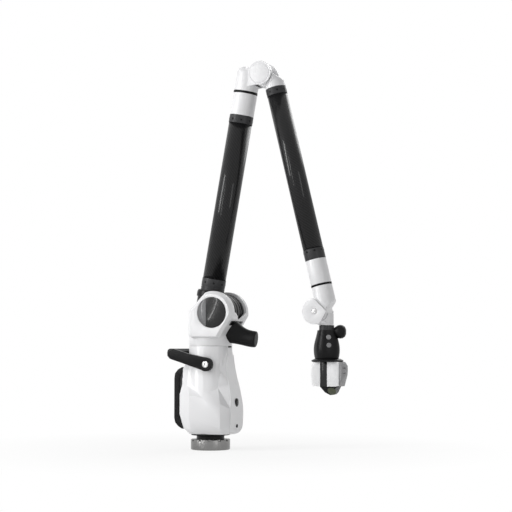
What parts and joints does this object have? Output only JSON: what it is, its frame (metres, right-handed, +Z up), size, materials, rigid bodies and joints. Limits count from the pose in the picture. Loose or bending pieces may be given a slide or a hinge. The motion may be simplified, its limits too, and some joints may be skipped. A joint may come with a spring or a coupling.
{
  "type": "portable measuring arm",
  "caption": "Articulated coordinate measuring arm on a threaded ring, with carbon tubes, fold joints, swivels and a scanner grip.",
  "frame": {"origin": "centre of the lock ring's mouth, on the base axis", "axes": "+Z up the base axis, X in the plane of the folded arm towards the hand, Y along the fold axes"},
  "size_m": [0.5363, 0.1652, 1.1514],
  "materials": {
    "turned_steel": "turned and ground steel",
    "black_anodised": "black anodised, satin",
    "white_shell": "white powder coat on cast aluminium, satin",
    "white_plastic": "white moulded plastic",
    "dark_plastic": "black moulded plastic, fine texture",
    "grey_metal": "dark grey anodised",
    "steel": "plain",
    "cast_aluminium": "as machined",
    "battery_case": "moulded",
    "circuit_board": "solder mask",
    "seal_rubber": "matt",
    "encoder_glass": "clear",
    "cap_grey": "gloss",
    "cap_black": "gloss",
    "spring_steel": "oiled",
    "carbon_fibre": "clear-coated twill weave of carbon fibre",
    "strip_black": "gloss",
    "grey_plastic": "moulded",
    "optic_glass": "coated"
  },
  "bodies": {
    "base": {"mount_neck": "black_anodised", "base_housing": "white_shell", "rear_cover": "white_shell", "cover_latch": "dark_plastic", "power_bezel": "dark_plastic", "carry_handle": "dark_plastic", "bail_bushes": "steel", "bail_screws": "steel", "bearing_carrier": "cast_aluminium", "base_bearings": "steel", "battery_pack": "battery_case", "main_board": "circuit_board", "turret_seal": "seal_rubber"},
    "lock_ring": {"lock_ring": "turned_steel"},
    "bail": {"bail_handle": "dark_plastic"},
    "power_button": {"power_button": "dark_plastic"},
    "turret": {"turret_housing": "white_shell", "turret_spindle": "steel", "base_encoder_disc": "encoder_glass", "front_cap_grey": "cap_grey", "ear_caps_black": "cap_black", "shoulder_axle": "steel", "shoulder_handle": "dark_plastic"},
    "upper_arm": {"shoulder_hub": "black_anodised", "shoulder_bearings": "steel", "counterbalance_spring": "spring_steel", "upper_collar_low": "grey_metal", "upper_tube": "carbon_fibre", "upper_collar_high": "grey_metal", "upper_collar_screws": "steel", "upper_sleeve": "white_shell", "elbow_seal_ring": "seal_rubber", "elbow_swivel_bearings": "steel"},
    "elbow": {"elbow_swivel_shaft": "steel", "elbow_yoke": "white_shell", "elbow_caps": "white_shell", "elbow_axle": "steel"},
    "forearm": {"elbow_knuckle": "white_shell", "forearm_collar_high": "grey_metal", "forearm_tube": "carbon_fibre", "forearm_collar_low": "grey_metal", "forearm_collar_screws": "steel", "forearm_sleeve": "white_shell", "wrist_seal_ring": "seal_rubber", "wrist_swivel_bearings": "steel"},
    "wrist": {"wrist_swivel_shaft": "steel", "wrist_yoke": "white_shell", "wrist_axle": "steel"},
    "hand": {"hand_knuckle": "white_shell"},
    "grip": {"grip_collar": "grey_metal", "grip_body": "dark_plastic", "side_grip": "dark_plastic", "grip_skirt": "dark_plastic", "scanner_body": "white_plastic", "scanner_strip": "strip_black", "scanner_cheek": "grey_plastic", "scanner_nose": "dark_plastic", "scanner_window": "optic_glass"},
    "trigger_high": {"trigger_button_high": "grey_plastic"},
    "trigger_low": {"trigger_button_low": "grey_plastic"}
  },
  "joints": [
    {"name": "ring_spin", "type": "hinge", "parent": "base", "child": "lock_ring", "pos_m": [0, 0, 0.0155], "axis": [0, 0, 1], "continuous": true},
    {"name": "bail_tilt", "type": "hinge", "parent": "base", "child": "bail", "pos_m": [0.016, 0, 0.253], "axis": [0, 1, 0], "range_deg": [-12, 0]},
    {"name": "power_press", "type": "slide", "parent": "base", "child": "power_button", "axis": [-1, 0, 0], "range_m": [0, 0.0015], "stiffness_N_per_m": 300, "springref_m": -0.001},
    {"name": "base_swivel", "type": "hinge", "parent": "base", "child": "turret", "pos_m": [0, 0, 0.3075], "axis": [0, 0, 1], "continuous": true},
    {"name": "shoulder_hinge", "type": "hinge", "parent": "turret", "child": "upper_arm", "pos_m": [0.0325, 0, 0.4055], "axis": [0, 1, 0], "range_deg": [-35, 30]},
    {"name": "elbow_swivel", "type": "hinge", "parent": "upper_arm", "child": "elbow", "pos_m": [0.11151, 0, 1.0639], "axis": [0.1767, 0, 0.9843], "continuous": true},
    {"name": "elbow_hinge", "type": "hinge", "parent": "elbow", "child": "forearm", "pos_m": [0.169, 0, 1.11586], "axis": [0, -1, 0], "range_deg": [-10, 145]},
    {"name": "wrist_swivel", "type": "hinge", "parent": "forearm", "child": "wrist", "pos_m": [0.34888, 0, 0.4844], "axis": [0.2334, 0, -0.9724], "continuous": true},
    {"name": "wrist_hinge", "type": "hinge", "parent": "wrist", "child": "hand", "pos_m": [0.33909, 0, 0.40739], "axis": [0, 1, 0], "range_deg": [-25, 45]},
    {"name": "grip_swivel", "type": "hinge", "parent": "hand", "child": "grip", "pos_m": [0.36419, 0, 0.36699], "axis": [0, 0, 1], "continuous": true},
    {"name": "trigger_high_press", "type": "slide", "parent": "grip", "child": "trigger_high", "axis": [-0.4695, 0.8829, 0], "range_m": [0, 0.0015], "stiffness_N_per_m": 300, "springref_m": -0.001},
    {"name": "trigger_low_press", "type": "slide", "parent": "grip", "child": "trigger_low", "axis": [-0.4695, 0.8829, 0], "range_m": [0, 0.0015], "stiffness_N_per_m": 300, "springref_m": -0.001}
  ]
}
